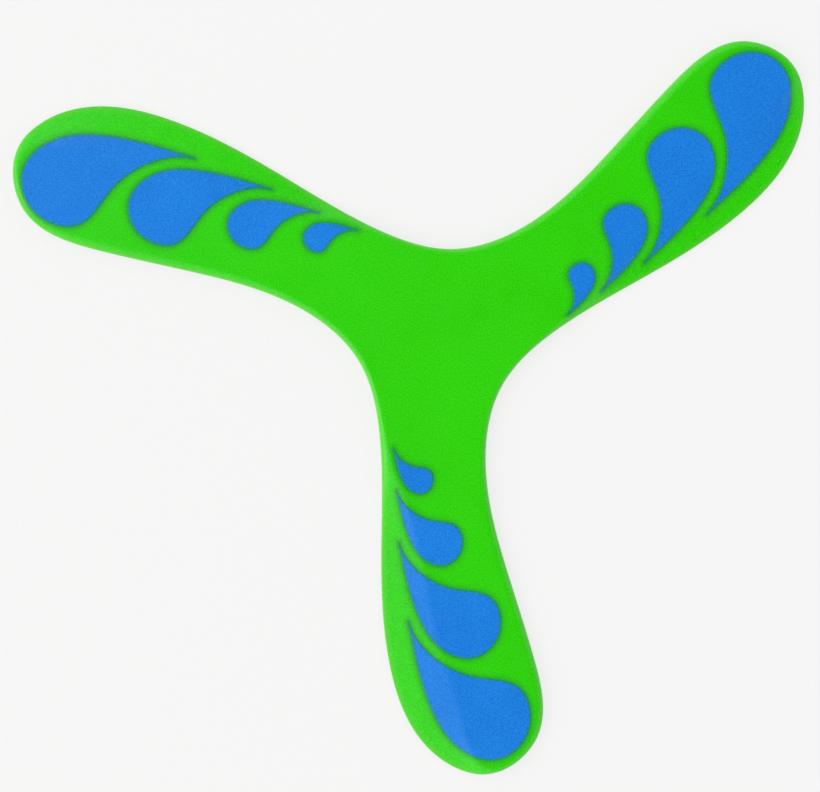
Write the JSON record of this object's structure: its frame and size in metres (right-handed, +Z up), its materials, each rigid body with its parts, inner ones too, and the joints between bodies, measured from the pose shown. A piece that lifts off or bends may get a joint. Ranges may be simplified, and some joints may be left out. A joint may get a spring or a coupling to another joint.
{
  "type": "boomerang",
  "caption": "Three-bladed throwing boomerang: flat moulded plastic body with bevelled trailing edges, rounded leading edges and drop-shaped surface films.",
  "frame": {"origin": "on the spin axis, at the hub's centre, on the flat underside", "axes": "+Z up out of the decorated side, along the spin axis; -Y outwards along blade 1; blades 2 and 3 follow it anticlockwise seen from above"},
  "size_m": [0.2846, 0.2665, 0.0041],
  "materials": {
    "green_plastic": "fine satin moulding grain",
    "blue_film": "semi-gloss printed film"
  },
  "bodies": {
    "root": {"moulded_body": "green_plastic", "blade_1_tip_drop": "blue_film", "blade_1_outer_drop": "blue_film", "blade_1_inner_drop": "blue_film", "blade_1_root_drop": "blue_film", "blade_2_tip_drop": "blue_film", "blade_2_outer_drop": "blue_film", "blade_2_inner_drop": "blue_film", "blade_2_root_drop": "blue_film", "blade_3_tip_drop": "blue_film", "blade_3_outer_drop": "blue_film", "blade_3_inner_drop": "blue_film", "blade_3_root_drop": "blue_film"}
  },
  "joints": []
}
